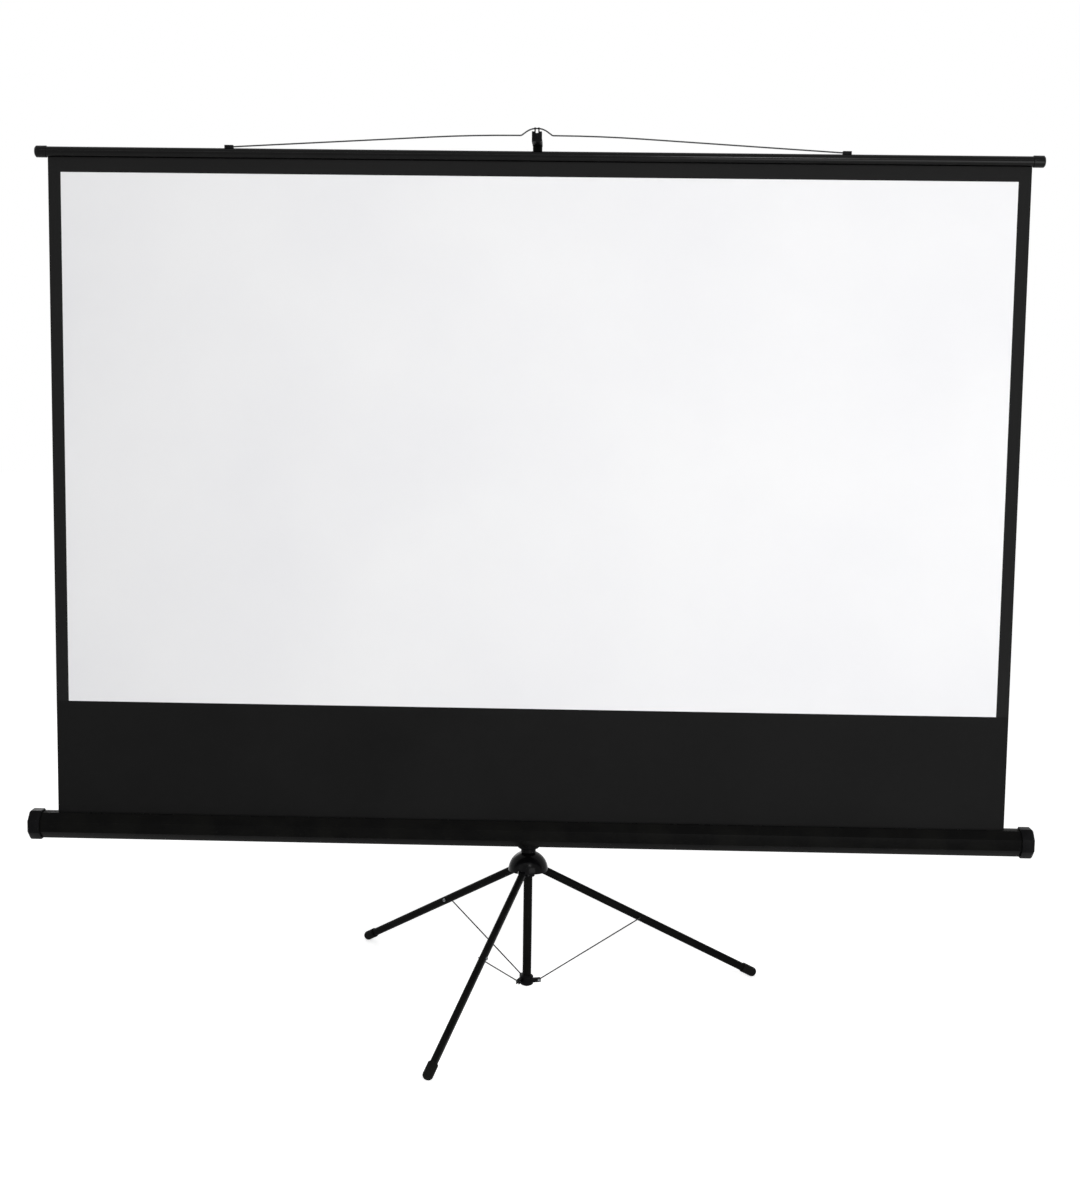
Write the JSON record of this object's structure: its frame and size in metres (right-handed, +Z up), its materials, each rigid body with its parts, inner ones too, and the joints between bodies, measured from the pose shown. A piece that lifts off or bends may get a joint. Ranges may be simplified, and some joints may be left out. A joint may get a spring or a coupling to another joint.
{
  "type": "tripod projection screen",
  "caption": "Portable roll-up projection screen on a folding tripod: sprung roller case, matte cloth with black borders, top slat on a wire bail, telescopic mast with hook.",
  "frame": {"origin": "the point of the floor under the mast axis", "axes": "+X along the case to the right as the picture is viewed, +Y away from the viewer, +Z up"},
  "size_m": [2.411, 0.9814, 2.078],
  "materials": {
    "black_enamel": "satin black enamel",
    "black_moulding": "fine moulded grain",
    "gloss_black_moulding": "gloss",
    "foot_rubber": "matte",
    "zinc_steel": "bright zinc plate",
    "black_wire": "blackened spring wire",
    "screen_cloth": "matte white, with black borders and black drop"
  },
  "bodies": {
    "mast": {"hub_core": "black_moulding", "hub_dome": "gloss_black_moulding", "leg_pivot_pins": "zinc_steel", "mast_tube": "black_enamel", "mast_collar": "black_moulding", "screen_fabric": "screen_cloth"},
    "extension": {"extension_tube": "black_enamel", "extension_bush": "black_moulding", "hook_head": "black_moulding", "slat_tube": "black_enamel", "slat_cap_left": "black_moulding", "slat_cap_right": "black_moulding", "hem_rod": "zinc_steel", "bail_clips": "black_moulding", "bail_wire": "black_wire"},
    "case": {"slider": "black_moulding", "pivot_bolt": "zinc_steel", "pivot_washer": "zinc_steel", "case_bracket": "black_enamel", "case_rivets": "zinc_steel", "case_shell": "black_enamel", "case_cap_left": "black_moulding", "case_cap_right": "black_moulding", "idler_pin": "zinc_steel", "spring_shaft": "zinc_steel", "spring_anchor": "black_moulding"},
    "spring": {"roller_spring": "zinc_steel"},
    "roller": {"roller_tube": "black_enamel", "roller_plug_left": "black_moulding", "roller_plug_right": "black_moulding", "fabric_winding": "screen_cloth"},
    "post": {"post_tube": "black_enamel", "post_bush": "black_moulding", "post_plug": "black_moulding", "brace_spider": "black_moulding", "spider_rivets": "zinc_steel"},
    "mast_knob": {"mast_knob": "black_moulding", "mast_knob_screw": "zinc_steel"},
    "slider_knob": {"slider_knob": "black_moulding", "slider_knob_screw": "zinc_steel"},
    "leg_right": {"right_leg_tube": "black_enamel", "right_leg_knuckle": "black_moulding", "right_foot": "foot_rubber"},
    "brace_right": {"right_brace_rod": "zinc_steel", "right_brace_cap": "zinc_steel"},
    "leg_rear": {"rear_leg_tube": "black_enamel", "rear_leg_knuckle": "black_moulding", "rear_foot": "foot_rubber"},
    "brace_rear": {"rear_brace_rod": "zinc_steel", "rear_brace_cap": "zinc_steel"},
    "leg_front": {"front_leg_tube": "black_enamel", "front_leg_knuckle": "black_moulding", "front_foot": "foot_rubber"},
    "brace_front": {"front_brace_rod": "zinc_steel", "front_brace_cap": "zinc_steel"}
  },
  "joints": [
    {"name": "mast_extend", "type": "slide", "parent": "mast", "child": "extension", "axis": [0, 0, 1], "range_m": [-0.56, 0], "deforming": ["screen_fabric"]},
    {"name": "case_height", "type": "slide", "parent": "mast", "child": "case", "axis": [0, 0, 1], "range_m": [0, 0.2], "deforming": ["screen_fabric"]},
    {"name": "spring_turn", "type": "hinge", "parent": "case", "child": "spring", "pos_m": [0, -0.052, 0.4177], "axis": [1, 0, 0], "range_deg": [0, 804.3]},
    {"name": "roller_turn", "type": "hinge", "parent": "spring", "child": "roller", "pos_m": [0, -0.052, 0.4177], "axis": [1, 0, 0], "range_deg": [0, 2251.7]},
    {"name": "leg_fold", "type": "hinge", "parent": "mast", "child": "leg_right", "pos_m": [0.02595, 0.00744, 0.315], "axis": [-0.2756, 0.9613, 0], "range_deg": [0, 57]},
    {"name": "leg_fold_rear", "type": "hinge", "parent": "mast", "child": "leg_rear", "pos_m": [-0.02006, 0.01807, 0.315], "axis": [-0.6691, -0.7431, 0], "range_deg": [0, 57]},
    {"name": "leg_fold_front", "type": "hinge", "parent": "mast", "child": "leg_front", "pos_m": [-0.00879, -0.02553, 0.315], "axis": [0.9455, -0.3256, 0], "range_deg": [0, 57]},
    {"name": "brace_swing_right", "type": "hinge", "parent": "leg_right", "child": "brace_right", "pos_m": [0.2764, 0.07926, 0.175], "axis": [-0.2756, 0.9613, 0], "range_deg": [-114, 0]},
    {"name": "brace_swing_rear", "type": "hinge", "parent": "leg_rear", "child": "brace_rear", "pos_m": [-0.21368, 0.1924, 0.175], "axis": [-0.6691, -0.7431, 0], "range_deg": [-114, 0]},
    {"name": "brace_swing_front", "type": "hinge", "parent": "leg_front", "child": "brace_front", "pos_m": [-0.09361, -0.27187, 0.175], "axis": [0.9455, -0.3256, 0], "range_deg": [-114, 0]},
    {"name": "post_drop", "type": "hinge", "parent": "brace_right", "child": "post", "pos_m": [0.02595, 0.00744, 0.035], "axis": [-0.2756, 0.9613, 0], "range_deg": [0, 57]},
    {"name": "mast_knob_turn", "type": "hinge", "parent": "mast", "child": "mast_knob", "pos_m": [0, 0.04, 1.413], "axis": [0, 1, 0], "range_deg": [0, 360]},
    {"name": "slider_knob_turn", "type": "hinge", "parent": "case", "child": "slider_knob", "pos_m": [0, 0.04, 0.4457], "axis": [0, 1, 0], "range_deg": [0, 360]}
  ],
  "couplings": [
    {"joint": "roller_turn", "follows": "mast_extend", "rad_per_m": -70.175},
    {"joint": "spring_turn", "follows": "case_height", "rad_per_m": 70.175},
    {"joint": "leg_fold_rear", "follows": "leg_fold", "ratio": 1},
    {"joint": "leg_fold_front", "follows": "leg_fold", "ratio": 1},
    {"joint": "brace_swing_right", "follows": "leg_fold", "ratio": -2},
    {"joint": "brace_swing_rear", "follows": "leg_fold", "ratio": -2},
    {"joint": "brace_swing_front", "follows": "leg_fold", "ratio": -2},
    {"joint": "post_drop", "follows": "leg_fold", "ratio": 1}
  ]
}
